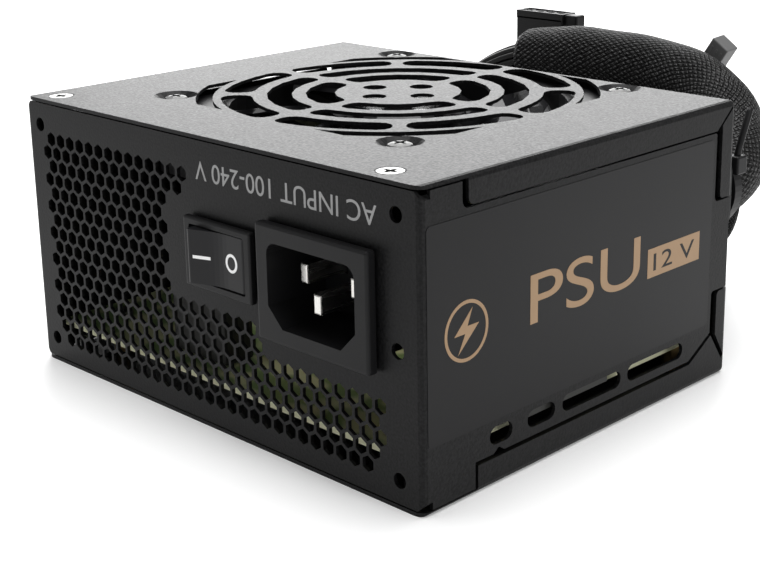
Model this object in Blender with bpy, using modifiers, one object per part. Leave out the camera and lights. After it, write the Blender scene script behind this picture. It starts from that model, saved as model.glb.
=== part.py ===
"""A small-form-factor power supply unit as an assembly of separate pieces.

The frame: the origin is the middle of the case's bottom, +Z is the fan side, -Y is the panel with the
inlet and the switch, and +Y is the end that the cables leave. Sizes are in millimetres. They become
metres in one place, where a mesh or a curve is made.
"""

import math

import bmesh
import bpy
from mathutils import Matrix, Vector

MM = 0.001  # metres in a millimetre
GAP = 0.3  # clearance between neighbouring pieces
WELD = 1e-6  # metres

# Case
WIDTH, DEPTH, HEIGHT = 125.0, 100.0, 63.5
SHEET = 0.8
TAB_SHEET = 1.0
HALF_W, HALF_D = WIDTH / 2, DEPTH / 2
BEND_OUTSIDE, BEND_INSIDE = 1.2, 0.4
PANEL_Y = -HALF_D  # outer face of the panel with the inlet
END_Y = HALF_D  # outer face of the panel that the cables leave
TOP_Z = HEIGHT - SHEET  # underside of the top plate
WALL_LOW, WALL_HIGH = SHEET + GAP, TOP_Z - GAP
BEYOND = 10.0  # how far cutters reach past what they cut

# Fan
FAN_X, FAN_Y = -0.5, 8.5
FAN_SIZE, FAN_DEPTH = 80.0, 15.0
FAN_SCREW_SPACING = 71.5
DIMPLE_DEPTH = 1.3
FAN_TOP = TOP_Z - DIMPLE_DEPTH - GAP
FAN_BOTTOM = FAN_TOP - FAN_DEPTH
FAN_BORE_R = 38.5
HUB_R = 15.5
BLADE_TIP_R = 37.4
BLADES = 7

# Honeycomb vent in the panel: holes in rows, each row is (first hole's column, number of holes)
HEX_PITCH = 3.68
HEX_ROW_PITCH = HEX_PITCH * math.sqrt(3) / 2
HEX_FLATS = 2.95
HEX_TOP_ROW_Z = 54.5
HEX_LEFT_X = -55.1
HEX_ROWS = (
    [(0.5, 14), (0, 14)]
    + [(0.5, 12), (0, 12)] * 3
    + [(0.5, 12), (0, 20), (0.5, 20), (0, 30), (0.5, 29), (0, 30), (0.5, 29), (1, 28)]
)

# Panel fittings: middle (x, z)
MOUNT_HOLES = ((-57.4, 57.4), (-57.4, 5.9), (56.4, 57.4), (56.4, 31.6), (56.4, 5.9))
MOUNT_HOLE_R = 1.6
INLET_X, INLET_Z = 36.0, 38.0
INLET_PINS = {  # middle (x, z), and where the tip is along y
    "inlet_neutral_pin": ((INLET_X - 7.0, INLET_Z + 2.0), PANEL_Y + 2.1),
    "inlet_line_pin": ((INLET_X + 7.0, INLET_Z + 2.0), PANEL_Y + 2.1),
    "inlet_earth_pin": ((INLET_X, INLET_Z - 2.0), PANEL_Y - 1.0),
}
SWITCH_X, SWITCH_Z = 7.3, 39.2
SWITCH_PIVOT_Y = PANEL_Y + 1.9
ROCKER_HALF_TRAVEL = math.radians(10)

# Screws: middle (x, y)
COVER_SCREWS_TOP = ((-55.7, -45.0), (50.3, -45.0))
COVER_SCREWS_BOTTOM = ((-53.0, -45.0), (53.0, -45.0))
BOARD_SCREWS = ((-50.0, -36.0), (53.0, -36.0), (-50.0, 41.0), (54.5, 41.5))

# Main board
BOARD_LOW, BOARD_HIGH = 8.2, 9.8
ON_BOARD = BOARD_HIGH + GAP

# Cable exit and cables
EXIT_Z = 41.5
GROMMET_OUTSIDE = END_Y + 1.8
CABLE_START_Y = GROMMET_OUTSIDE + GAP
MAIN_X, MAIN_R = 51.0, 9.0
TAIL_R = 5.0
DRIVE_X, DRIVE_Z, DRIVE_R = 31.0, 43.0, 2.75
HANK_LOW, HANK_HIGH = (-53.0, 91.0, 1.5), (29.5, 113.0, 45.8)
MAIN_ROUTE = (
    (MAIN_X, CABLE_START_Y, EXIT_Z), (MAIN_X, 57.0, EXIT_Z), (MAIN_X, 62.0, 41.7),
    (48.8, 71.6, 43.2), (42.1, 82.4, 47.3), (32.0, 90.9, 52.0), (19.6, 95.4, 55.8),
    (8.0, 96.2, 57.6), (-6.0, 96.2, 58.0), (-18.0, 96.2, 57.5), (-27.0, 96.0, 56.6),
    (-34.0, 95.6, 55.4),
)
TAIL_ROUTE = (
    (-34.8, 95.6, 54.9), (-40.0, 95.3, 53.6), (-47.5, 94.8, 50.0), (-54.6, 93.9, 44.4),
    (-60.0, 92.8, 38.0), (-63.2, 92.2, 32.6), (-64.2, 92.0, 27.9),
)
DRIVE_ROUTE = (
    (DRIVE_X, CABLE_START_Y, DRIVE_Z), (DRIVE_X, 55.6, DRIVE_Z), (DRIVE_X, 60.6, 42.2),
    (30.4, 67.0, 38.6), (29.0, 74.0, 31.8), (26.8, 79.6, 24.4), (24.2, 84.2, 17.4),
    (20.8, 88.2, 11.2),
)
DRIVE_LOOP_ROUTE = (
    (-54.7, 110.0, 26.4), (-58.4, 109.9, 30.6), (-60.8, 109.6, 36.8), (-60.8, 109.3, 43.2),
    (-58.2, 109.2, 48.0), (-54.8, 109.2, 49.9), (-51.7, 109.2, 50.1),
)
DRIVE_END_ROUTE = (
    (-29.3, 109.2, 50.1), (-21.0, 109.2, 51.2), (-12.0, 109.2, 51.6), (-3.0, 109.1, 51.2),
    (6.0, 108.8, 51.0), (11.8, 108.2, 52.2), (16.2, 107.7, 55.0), (18.6, 107.4, 58.4),
)


# ---------------------------------------------------------------- scene

def clear_scene():
    for obj in list(bpy.data.objects):
        bpy.data.objects.remove(obj, do_unlink=True)


def new_collection(name):
    collection = bpy.data.collections.new(name)
    bpy.context.scene.collection.children.link(collection)
    return collection


def material(name, colour, roughness, metallic=0.0):
    made = bpy.data.materials.new(name)
    made.use_nodes = True
    shader = made.node_tree.nodes["Principled BSDF"]
    shader.inputs["Base Color"].default_value = (*colour, 1.0)
    shader.inputs["Roughness"].default_value = roughness
    shader.inputs["Metallic"].default_value = metallic
    return made


# ---------------------------------------------------------------- outlines, as lists of (u, v)

def arc(centre_u, centre_v, radius, start, end, steps):
    """Points on an arc, its ends included. Angles are in degrees."""
    angles = [math.radians(start + (end - start) * i / steps) for i in range(steps + 1)]
    return [(centre_u + radius * math.cos(a), centre_v + radius * math.sin(a)) for a in angles]


def circle(centre, radius, sides=24):
    return arc(*centre, radius, 0, 360, sides)[:-1]


def rounded(corners, steps=4):
    """An outline with its corners, each (u, v, radius), turned into arcs."""
    outline = []
    for i, (u, v, radius) in enumerate(corners):
        corner = Vector((u, v))
        if not radius:
            outline.append((u, v))
            continue
        before = (Vector(corners[i - 1][:2]) - corner).normalized()
        after = (Vector(corners[(i + 1) % len(corners)][:2]) - corner).normalized()
        half = before.angle(after) / 2
        centre = corner + (before + after).normalized() * (radius / math.sin(half))
        first = corner + before * (radius / math.tan(half)) - centre
        last = corner + after * (radius / math.tan(half)) - centre
        turn = math.atan2(first.x * last.y - first.y * last.x, first.dot(last))
        start = math.atan2(first.y, first.x)
        outline += arc(*centre, radius, math.degrees(start), math.degrees(start + turn), steps)
    return outline


def rectangle(low, high, radius=0.0, steps=4):
    (u0, v0), (u1, v1) = low, high
    return rounded([(u0, v0, radius), (u1, v0, radius), (u1, v1, radius), (u0, v1, radius)], steps)


def on_middle(middle, width, height, radius=0.0, steps=4):
    """A rectangle on its middle."""
    (u, v), half_w, half_h = middle, width / 2, height / 2
    return rectangle((u - half_w, v - half_h), (u + half_w, v + half_h), radius, steps)


# ---------------------------------------------------------------- solids

def axes_of(axis):
    """Turns (u, v, w), an outline's point and its height along the axis, to the world.

    Z gives (u, v, w), Y gives (u, -w, v) and X gives (w, u, v).
    """
    rows = {
        "X": ((0, 0, 1), (1, 0, 0), (0, 1, 0)),
        "Y": ((1, 0, 0), (0, 0, -1), (0, 1, 0)),
        "Z": ((1, 0, 0), (0, 1, 0), (0, 0, 1)),
    }[axis]
    return Matrix(rows).to_4x4()


def add_object(name, mesh):
    obj = bpy.data.objects.new(name, mesh)
    PARTS.objects.link(obj)
    return obj


def object_from(name, bm):
    """A mesh object from a bmesh in millimetres."""
    bmesh.ops.scale(bm, vec=(MM, MM, MM), verts=bm.verts)
    bmesh.ops.recalc_face_normals(bm, faces=bm.faces)
    mesh = bpy.data.meshes.new(name)
    bm.to_mesh(mesh)
    bm.free()
    return add_object(name, mesh)


def mesh_from_curve(curve_object):
    """Turns a curve object into a mesh object with its caps welded on."""
    name = curve_object.name
    evaluated = curve_object.evaluated_get(bpy.context.evaluated_depsgraph_get())
    mesh = bpy.data.meshes.new_from_object(evaluated)
    bm = bmesh.new()
    bm.from_mesh(mesh)
    bmesh.ops.remove_doubles(bm, verts=bm.verts, dist=WELD)
    bmesh.ops.recalc_face_normals(bm, faces=bm.faces)
    bm.to_mesh(mesh)
    bm.free()
    matrix = curve_object.matrix_world.copy()
    bpy.data.objects.remove(curve_object, do_unlink=True)
    obj = add_object(name, mesh)
    obj.name = name
    obj.matrix_world = matrix
    return obj


def prism(name, outlines, axis, low, high):
    """A solid between two flat ends. An outline inside another is a hole through it."""
    curve = bpy.data.curves.new(name, "CURVE")
    curve.dimensions = "2D"
    curve.fill_mode = "BOTH"
    curve.extrude = (high - low) / 2 * MM
    for outline in outlines:
        spline = curve.splines.new("POLY")
        spline.points.add(len(outline) - 1)
        for point, (u, v) in zip(spline.points, outline):
            point.co = (u * MM, v * MM, 0.0, 1.0)
        spline.use_cyclic_u = True
    obj = add_object(name, curve)
    middle = [(low + high) / 2 * MM if letter == axis else 0.0 for letter in "XYZ"]
    obj.matrix_world = Matrix.Translation(middle) @ axes_of(axis)
    bpy.context.view_layer.update()
    return mesh_from_curve(obj)


def block(name, low, high, bevel=0.0, along="XYZ", segments=3):
    """A box between two corners, with its edges that run along the named axes rounded."""
    bm = bmesh.new()
    bmesh.ops.create_cube(bm, size=1.0)
    low, high = Vector(low), Vector(high)
    bmesh.ops.scale(bm, vec=high - low, verts=bm.verts)
    bmesh.ops.translate(bm, vec=(low + high) / 2, verts=bm.verts)
    if bevel:
        edges = [e for e in bm.edges if direction(e) in along]
        bmesh.ops.bevel(bm, geom=edges, offset=bevel, segments=segments, profile=0.5, affect="EDGES")
    return object_from(name, bm)


def direction(edge):
    step = edge.verts[1].co - edge.verts[0].co
    return "XYZ"[max(range(3), key=lambda i: abs(step[i]))]


def cylinder(name, middle, radius, axis, low, high, sides=24, end_radius=None):
    """A cylinder on (u, v) of its axis, or a cone whose radius at high is end_radius."""
    radii = [radius, radius if end_radius is None else end_radius]
    if axis == "Y":
        radii.reverse()
    bm = bmesh.new()
    bmesh.ops.create_cone(
        bm, cap_ends=True, segments=sides, radius1=radii[0], radius2=radii[1], depth=high - low
    )
    for face in bm.faces:
        face.smooth = len(face.verts) == 4
    centre = axes_of(axis) @ Vector((*middle, 0.0))
    centre["XYZ".index(axis)] += (low + high) / 2
    bmesh.ops.transform(bm, matrix=Matrix.Translation(centre) @ axes_of(axis), verts=bm.verts)
    return object_from(name, bm)


def turned(name, profile, steps=24):
    """A solid turned about Z. The profile is (radius, z) down its outer side, from the top."""
    mesh = bpy.data.meshes.new(name)
    edges = [(i, i + 1) for i in range(len(profile) - 1)]
    mesh.from_pydata([(r * MM, 0.0, z * MM) for r, z in profile], edges, [])
    obj = add_object(name, mesh)
    screw = obj.modifiers.new("Turn", "SCREW")
    screw.steps = screw.render_steps = steps
    screw.use_merge_vertices = True
    screw.merge_threshold = WELD
    screw.use_smooth_shade = True
    return obj


def boolean(target, operation, *others):
    """Cuts, joins or crosses the target with the others, which become guides."""
    for other in others:
        modifier = target.modifiers.new(other.name, "BOOLEAN")
        modifier.operation = operation
        modifier.solver = "EXACT"
        modifier.object = other
        PARTS.objects.unlink(other)
        CUTTERS.objects.link(other)
        other.hide_render = True
        other.display_type = "WIRE"
    return target


def cut(target, *others):
    return boolean(target, "DIFFERENCE", *others)


def join(target, *others):
    return boolean(target, "UNION", *others)


def paint(obj, finish):
    obj.data.materials.clear()
    obj.data.materials.append(finish)
    return obj


def put_origin(obj, point):
    """Moves an object's origin to a point in millimetres, and leaves its shape where it is."""
    at = Vector(point) * MM
    obj.data.transform(Matrix.Translation(-at) @ obj.matrix_world)
    obj.matrix_world = Matrix.Translation(at)
    return obj


def smooth_line(route, spacing):
    """Evenly spaced points on a cubic B-spline along a route, from its first point to its last."""
    points = [Vector(p) for p in route]
    points = [2 * points[0] - points[1], *points, 2 * points[-1] - points[-2]]
    fine = []
    for a, b, c, d in zip(points, points[1:], points[2:], points[3:]):
        for i in range(24):
            t = i / 24
            inner = (3 * t**3 - 6 * t**2 + 4) * b + (3 * t**2 - 3 * t**3 + 3 * t + 1) * c
            fine.append(((1 - t) ** 3 * a + inner + t**3 * d) / 6)
    fine.append(points[-2])
    lengths = [(q - p).length for p, q in zip(fine, fine[1:])]
    count = max(2, round(sum(lengths) / spacing))
    step, line, travelled, wanted = sum(lengths) / count, [fine[0]], 0.0, 1
    for p, q, length in zip(fine, fine[1:], lengths):
        while wanted < count and travelled + length >= wanted * step:
            line.append(p.lerp(q, (wanted * step - travelled) / length))
            wanted += 1
        travelled += length
    return line + [fine[-1]]


def cable(name, route, radius, spacing, resolution=2):
    curve = bpy.data.curves.new(name, "CURVE")
    curve.dimensions = "3D"
    curve.bevel_depth = radius * MM
    curve.bevel_resolution = resolution
    curve.use_fill_caps = True
    line = smooth_line(route, spacing)
    spline = curve.splines.new("POLY")
    spline.points.add(len(line) - 1)
    for point, place in zip(spline.points, line):
        point.co = (*(place * MM), 1.0)
    return add_object(name, curve)


# ---------------------------------------------------------------- case

def honeycomb():
    """The outlines of the panel's hexagonal holes, which stand on their points."""
    holes = []
    for row, (first, count) in enumerate(HEX_ROWS):
        z = HEX_TOP_ROW_Z - row * HEX_ROW_PITCH
        for i in range(count):
            x = HEX_LEFT_X + (first + i) * HEX_PITCH
            holes.append(arc(x, z, HEX_FLATS / math.sqrt(3), 30, 390, 6)[:-1])
    return holes


def wall_outline():
    """The chassis from the side, (y, z): the walls are notched round the cover's flanges."""
    return rounded([
        (-70.0, WALL_LOW, 0), (-35.7, WALL_LOW, 0), (-35.7, 6.6, 0), (-30.5, 6.6, 0), (-28.9, 7.7, 0),
        (-27.3, 6.6, 0), (35.1, 6.6, 0), (43.2, 11.2, 0), (43.2, 20.9, 0.8), (49.0, 20.9, 0),
        (49.0, 41.7, 0), (43.0, 41.7, 1.2), (43.0, 57.2, 0.6), (-39.1, 57.2, 1.6),
        (-39.1, WALL_HIGH, 0), (-70.0, WALL_HIGH, 0),
    ])


def wall_slots():
    """The row of four round-ended vent slots low in the wall on the label's side, (y, z)."""
    low, high = 8.4, 12.1
    ends = ((-31.6, -24.9), (-20.4, -11.8), (-9.5, 10.0), (12.3, 32.6))
    return [rectangle((y0, low), (y1, high), (high - low) / 2 - 0.01) for y0, y1 in ends]


def screw_tabs(shell, name, places, low):
    """Joins the tabs, bent in from the panel, that the cover's screws go into."""
    depth, half = 9.0, 4.6
    front, high = PANEL_Y + SHEET / 2, low + TAB_SHEET
    for i, (x, _) in enumerate(places):
        join(shell, block(f"tab_{name}_{i}", (x - half, front, low), (x + half, front + depth, high)))
    screw_holes = [circle(p, 1.8, 12) for p in places]
    cut(shell, prism(f"tab_holes_{name}", screw_holes, "Z", low - 1, high + 1))


def chassis():
    """The panel with the inlet and both side walls, bent from one sheet."""
    shell = block(
        "chassis", (-HALF_W, PANEL_Y, -BEYOND), (HALF_W, HALF_D + BEYOND, HEIGHT + BEYOND),
        BEND_OUTSIDE, "Z",
    )
    inside = block(
        "chassis_inside", (SHEET - HALF_W, PANEL_Y + SHEET, -2 * BEYOND),
        (HALF_W - SHEET, HALF_D + 2 * BEYOND, HEIGHT + 2 * BEYOND), BEND_INSIDE, "Z", 2,
    )
    cut(shell, inside)
    boolean(shell, "INTERSECT", prism("chassis_outline", [wall_outline()], "X", -HALF_W - 5, HALF_W + 5))
    screw_tabs(shell, "top", COVER_SCREWS_TOP, WALL_HIGH - TAB_SHEET)
    screw_tabs(shell, "bottom", COVER_SCREWS_BOTTOM, WALL_LOW)
    panel_holes = honeycomb() + [circle(p, MOUNT_HOLE_R, 16) for p in MOUNT_HOLES]
    panel_holes.append(on_middle((INLET_X, INLET_Z), 27.6, 20.6))
    panel_holes.append(on_middle((SWITCH_X, SWITCH_Z), 19.6, 14.0))
    cut(shell, prism("panel_holes", panel_holes, "Y", PANEL_Y - 1, PANEL_Y + 2))
    cut(shell, prism("wall_slots", wall_slots(), "X", HALF_W - 5, HALF_W + 5))
    relief = 1.6
    corners = [(side * HALF_W, z) for side in (-1, 1) for z in (WALL_LOW, WALL_HIGH)]
    reliefs = [circle(corner, relief, 4) for corner in corners]
    cut(shell, prism("corner_reliefs", reliefs, "Y", PANEL_Y - 1, PANEL_Y + 2.5))
    return paint(shell, BLACK_STEEL)


def side_opening():
    """What the cover leaves open at each side, (y, z): all but its flanges and the end panel's tabs."""
    return rounded([
        (-70.0, TOP_Z, 0), (-37.4, TOP_Z, 0), (-37.4, 57.6, 1.5), (43.0, 57.6, 0), (48.6, 62.3, 0),
        (49.0, 61.9, 0), (45.1, 58.6, 0), (45.1, 42.1, 1.0), (70.0, 42.1, 0), (70.0, 20.4, 0),
        (45.5, 20.4, 1.0), (45.5, 10.3, 0), (49.2, 4.4, 0), (48.4, 3.6, 0), (43.7, 10.4, 0),
        (35.5, 5.7, 0), (-34.9, 5.7, 0), (-34.9, SHEET, 0), (-70.0, SHEET, 0),
    ])


def plate_corner(side, radius=2.5):
    """What is cut off a corner of the plates at the panel's end, (x, y)."""
    x, y = HALF_W - radius, PANEL_Y + radius
    edge = arc(x, y, radius, 0, -90, 4)
    return [(side * u, v) for u, v in edge + [(x, y - 5), (x + 5, y - 5), (x + 5, y)]]


def ring_slot(inner, outer, middle_angle, half_angle, corner):
    """A slot bent round the fan's axis: a rounded rectangle, unrolled at its middle radius."""
    middle = (inner + outer) / 2
    half_length = math.radians(half_angle) * middle
    ends = on_middle((0, 0), 2 * half_length, outer - inner, corner, 3)
    outline = []
    for (s, r), (next_s, next_r) in zip(ends, ends[1:] + ends[:1]):
        pieces = max(1, round(abs(next_s - s) / 5.5))
        step_s, step_r = (next_s - s) / pieces, (next_r - r) / pieces
        outline += [(s + step_s * i, r + step_r * i) for i in range(pieces)]
    return [
        (FAN_X + (middle + r) * math.cos(a), FAN_Y + (middle + r) * math.sin(a))
        for s, r in outline
        for a in [math.radians(middle_angle) + s / middle]
    ]


def corner_slot(middle_angle, inner=42.0, outer=45.8, reach=39.3):
    """A sliver outside the rings, cut off where the fan's square frame ends."""
    inner_half, outer_half = (45 - math.degrees(math.acos(reach / r)) for r in (inner, outer))
    near = arc(FAN_X, FAN_Y, inner, middle_angle - inner_half, middle_angle + inner_half, 10)
    far = arc(FAN_X, FAN_Y, outer, middle_angle + outer_half, middle_angle - outer_half, 6)
    return near + far


def grille_slots():
    """The fan grille: three rings of slots, four slivers and four round holes in the middle."""
    slots = []
    for quarter in range(4):
        angle = 45 + 90 * quarter
        slots.append(ring_slot(14.4, 21.1, angle, 40.2, 2.6))
        slots.append(ring_slot(24.2, 29.9, angle, 42.2, 2.4))
        slots.append(corner_slot(angle))
        slots += [ring_slot(33.1, 40.2, angle + side * 22.5, 20.3, 3.0) for side in (-1, 1)]
    for u, v in ((7.6, 0), (0, 7.6), (-7.6, 0), (0, -7.6)):
        slots.append(circle((FAN_X + u, FAN_Y + v), 2.75, 14))
    return slots


def fan_screw_places():
    half = FAN_SCREW_SPACING / 2
    return [(FAN_X + a * half, FAN_Y + b * half) for b in (-1, 1) for a in (-1, 1)]


def cover():
    """The top plate, the end panel and the bottom plate, bent from one sheet, with side flanges."""
    shell = block("cover", (-HALF_W, PANEL_Y - 2 * BEYOND, 0), (HALF_W, END_Y, HEIGHT), BEND_OUTSIDE)
    inside = block(
        "cover_inside", (SHEET - HALF_W, PANEL_Y - 3 * BEYOND, SHEET),
        (HALF_W - SHEET, END_Y - SHEET, TOP_Z), BEND_INSIDE, segments=2,
    )
    cut(shell, inside)
    # The open end is cut off first, so that the cuts after it all meet plain sheet.
    open_low, open_high = (-HALF_W - 5, PANEL_Y - 40, -5), (HALF_W + 5, PANEL_Y, HEIGHT + 5)
    cut(shell, block("cover_open_end", open_low, open_high))
    wall_inside = HALF_W - SHEET - GAP
    for side, low, high in (("right", wall_inside, HALF_W + 5), ("left", -HALF_W - 5, -wall_inside)):
        cut(shell, prism(f"cover_{side}_opening", [side_opening()], "X", low, high))
    for side in (-1, 1):
        cut(shell, prism(f"plate_corner_{side}", [plate_corner(side)], "Z", -BEYOND, HEIGHT + BEYOND))
    dimple_floor = HEIGHT - DIMPLE_DEPTH
    underside = dimple_floor - SHEET
    for i, place in enumerate(fan_screw_places()):
        join(shell, cylinder(f"dimple_{i}", place, 4.1, "Z", underside, TOP_Z + 0.2, 18, 5.7))
        cut(shell, cylinder(f"dimple_hollow_{i}", place, 3.3, "Z", dimple_floor, HEIGHT + 0.1, 18, 5.1))
    screw_holes = [circle(p, 2.3, 14) for p in fan_screw_places()]
    cut(shell, prism("grille", grille_slots() + screw_holes, "Z", FAN_TOP - 1, HEIGHT + 1))
    for i, place in enumerate(COVER_SCREWS_TOP):
        cone = cylinder(f"countersink_top_{i}", place, 1.8, "Z", TOP_Z - 0.05, HEIGHT + 0.05, 16, 3.1)
        cut(shell, cone)
    for i, place in enumerate(COVER_SCREWS_BOTTOM):
        cone = cylinder(f"countersink_bottom_{i}", place, 3.1, "Z", -0.05, SHEET + 0.05, 16, 1.8)
        cut(shell, cone)
    cable_hole = rectangle((26.9, 32.0), (60.5, 51.8), 5.0)
    cut(shell, prism("cable_hole", [cable_hole], "Y", END_Y - 3, END_Y + 3))
    return paint(shell, BLACK_STEEL)


def side_label():
    outline = rectangle((-48.7, 13.6), (41.9, 55.9), 1.0, 2)
    return paint(prism("side_label", [outline], "X", HALF_W + 0.1, HALF_W + 0.25), LABEL)


# ---------------------------------------------------------------- inlet and switch

def inlet_housing():
    """The mains socket: a flange outside the panel, and a body with the pin cavity behind it."""
    front, back, floor = PANEL_Y - 2.8, PANEL_Y + 18.0, PANEL_Y + 12.5
    x, z = INLET_X, INLET_Z
    housing = block(
        "inlet_housing", (x - 15.6, front, z - 12.0), (x + 15.6, PANEL_Y - GAP, z + 12.0), 0.6
    )
    join(housing, block("inlet_body", (x - 13.5, PANEL_Y - 1.0, z - 10.0), (x + 13.5, back, z + 10.0)))
    cavity = rounded([
        (x - 12.2, z + 8.5, 2.5), (x + 12.2, z + 8.5, 2.5), (x + 12.2, z - 4.5, 0),
        (x + 8.2, z - 8.6, 0), (x - 8.2, z - 8.6, 0), (x - 12.2, z - 4.5, 0),
    ])
    cut(housing, prism("inlet_cavity", [cavity], "Y", front - 1, floor))
    pin_holes = [on_middle(place, 2.6, 4.6) for place, _ in INLET_PINS.values()]
    cut(housing, prism("inlet_pin_holes", pin_holes, "Y", floor - 1, back + 1))
    return paint(housing, BLACK_PLASTIC)


def inlet_pins():
    for name, (place, tip) in INLET_PINS.items():
        x, z = place
        pin = block(name, (x - 1, tip, z - 2), (x + 1, PANEL_Y + 25.0, z + 2), 0.35, "XZ", 2)
        paint(pin, PLATED_BRASS)


def switch_housing():
    x, z, y = SWITCH_X, SWITCH_Z, PANEL_Y
    housing = block("switch_housing", (x - 10.5, y - 2, z - 7.5), (x + 10.5, y - GAP, z + 7.5), 0.5)
    join(housing, block("switch_body", (x - 9.5, y - 1, z - 6.7), (x + 9.5, y + 12, z + 6.7)))
    opening = on_middle((x, z), 17.4, 12.0, 0.5, 2)
    cut(housing, prism("switch_opening", [opening], "Y", y - 3, y + 9))
    cut(housing, cylinder("switch_pivot_hole", (x, SWITCH_PIVOT_Y), 1.5, "Z", z - 7.2, z + 7.2, 16))
    return paint(housing, BLACK_PLASTIC)


def turned_point(point, angle):
    u, v = point
    return u * math.cos(angle) - v * math.sin(angle), u * math.sin(angle) + v * math.cos(angle)


def switch_rocker():
    """The rocker, stored at its off stop: its right wing lies flat and its left wing stands out."""
    half_length, wing_depth, back_depth = 7.7, 3.66, 1.5
    wing_end = wing_depth + half_length * math.tan(ROCKER_HALF_TRAVEL)
    middle_corners = [
        (-half_length, back_depth, 0.3), (-half_length, -wing_end, 0.7), (0.0, -wing_depth, 14.0),
        (half_length, -wing_end, 0.7), (half_length, back_depth, 0.3),
    ]
    corners = [(*turned_point((u, v), ROCKER_HALF_TRAVEL), radius) for u, v, radius in middle_corners]
    outline = [(SWITCH_X + u, SWITCH_PIVOT_Y + v) for u, v in rounded(corners)]
    rocker = prism("switch_rocker", [outline], "Z", SWITCH_Z - 5.7, SWITCH_Z + 5.7)
    put_origin(rocker, (SWITCH_X, SWITCH_PIVOT_Y, SWITCH_Z))
    pivot = (SWITCH_X, SWITCH_PIVOT_Y)
    join(rocker, cylinder("rocker_stub", pivot, 1.2, "Z", SWITCH_Z - 6.5, SWITCH_Z + 6.5, 14))
    return paint(rocker, BLACK_PLASTIC)


def switch_terminals():
    back, z = PANEL_Y + 12 + GAP, SWITCH_Z
    for i, x in enumerate((SWITCH_X - 4.0, SWITCH_X + 4.0), 1):
        tab = block(f"switch_terminal_{i}", (x - 0.4, back, z - 2.4), (x + 0.4, back + 7, z + 2.4))
        paint(tab, PLATED_BRASS)


# ---------------------------------------------------------------- fan

def fan_frame():
    """The square frame with its round bore, and the crossed bars that carry the motor's base."""
    outer = on_middle((FAN_X, FAN_Y), FAN_SIZE, FAN_SIZE, 4.0, 3)
    holes = [circle((FAN_X, FAN_Y), FAN_BORE_R, 44)]
    holes += [circle(p, 2.2, 10) for p in fan_screw_places()]
    frame = prism("fan_frame", [outer, *holes], "Z", FAN_BOTTOM, FAN_TOP)
    base_top = FAN_BOTTOM + 1.8
    bars = []
    for i, angle in enumerate((45, 135)):
        ends = [turned_point(p, math.radians(angle)) for p in on_middle((0, 0), 79.0, 3.6)]
        outline = [(FAN_X + u, FAN_Y + v) for u, v in ends]
        bars.append(prism(f"fan_bar_{i}", [outline], "Z", FAN_BOTTOM + 0.01 * i, base_top - 0.01 * i))
    join(frame, *bars)
    join(frame, cylinder("fan_base", (FAN_X, FAN_Y), HUB_R + 0.5, "Z", FAN_BOTTOM, base_top + 0.02, 32))
    return paint(frame, BLACK_PLASTIC)


def blade_surface(bm, start_angle):
    """One blade as an open sheet. It leans back and flattens towards its tip."""
    low, high = FAN_BOTTOM + 3.4, FAN_TOP - 1.4
    stations, rows = 5, 4
    grid = []
    for i in range(stations):
        radius = (HUB_R - 1.0) + (BLADE_TIP_R - HUB_R + 1.0) * i / (stations - 1)
        sweep = math.radians(8.0 + 9.0 * (i / (stations - 1)))
        lean = math.radians(7.0) * i / (stations - 1)
        line = []
        for j in range(rows):
            t = j / (rows - 1)
            angle = start_angle + lean + sweep * (2 * t - 1) * (1.0 - 0.12 * math.sin(math.pi * t))
            z = low + (high - low) * (t + 0.08 * math.sin(math.pi * t))
            line.append(bm.verts.new((radius * math.cos(angle), radius * math.sin(angle), z)))
        grid.append(line)
    for a, b in zip(grid, grid[1:]):
        for i in range(rows - 1):
            bm.faces.new((a[i], b[i], b[i + 1], a[i + 1]))


def fan_rotor():
    """The hub and its blades, moulded in one."""
    hub_top, hub_low = FAN_TOP - 0.5, FAN_BOTTOM + 2.6
    skirt, crown = 2.0, 1.5
    hub = turned("fan_rotor", [
        (0, hub_top), (HUB_R - 1.2, hub_top), (HUB_R, hub_top - 1.2), (HUB_R, hub_low),
        (HUB_R - skirt, hub_low), (HUB_R - skirt, hub_top - crown), (0, hub_top - crown),
    ], 28)
    bm = bmesh.new()
    for i in range(BLADES):
        blade_surface(bm, 2 * math.pi * i / BLADES)
    blades = object_from("fan_blades", bm)
    thick = blades.modifiers.new("Thickness", "SOLIDIFY")
    thick.thickness = 1.1 * MM
    thick.offset = 0.0
    for piece in (hub, blades):
        piece.location = Vector((FAN_X, FAN_Y, 0.0)) * MM
    join(hub, blades)
    hub.data.transform(Matrix.Translation((0, 0, -hub_low * MM)))
    hub.location.z = hub_low * MM
    return paint(hub, GLOSS_PLASTIC)


def fan_shaft():
    low, high = FAN_BOTTOM + 2.7, FAN_TOP - 2.3
    shaft = cylinder("fan_shaft", (FAN_X, FAN_Y), 1.2, "Z", low, high, 16)
    return paint(put_origin(shaft, (FAN_X, FAN_Y, low)), BRIGHT_STEEL)


def ring(name, middle, inner, outer, low, high, sides, finish):
    pipe = prism(name, [circle(middle, outer, sides), circle(middle, inner, sides)], "Z", low, high)
    pipe.data.shade_smooth()
    pipe.data.set_sharp_from_angle(angle=math.radians(40))
    return paint(pipe, finish)


def fan_motor():
    middle = (FAN_X, FAN_Y)
    ring("fan_bearing", middle, 1.5, 3.4, FAN_BOTTOM + 2.2, FAN_TOP - 3.0, 16, BRASS)
    ring("fan_stator", middle, 3.7, 12.0, FAN_BOTTOM + 3.6, FAN_TOP - 3.4, 20, COPPER)


# ---------------------------------------------------------------- fasteners

def cross_recess(name, top, reach):
    """The cutter for a cross recess with tapered arms, whose mouth is at the height top."""
    tip, root = 0.35, 0.5
    arm = [(reach, -tip), (reach, tip), (root, root)]
    plus = [turned_point(p, math.radians(90 * quarter)) for quarter in range(4) for p in arm]
    return prism(name, [plus], "Z", top - 0.7, top + 0.2)


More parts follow.
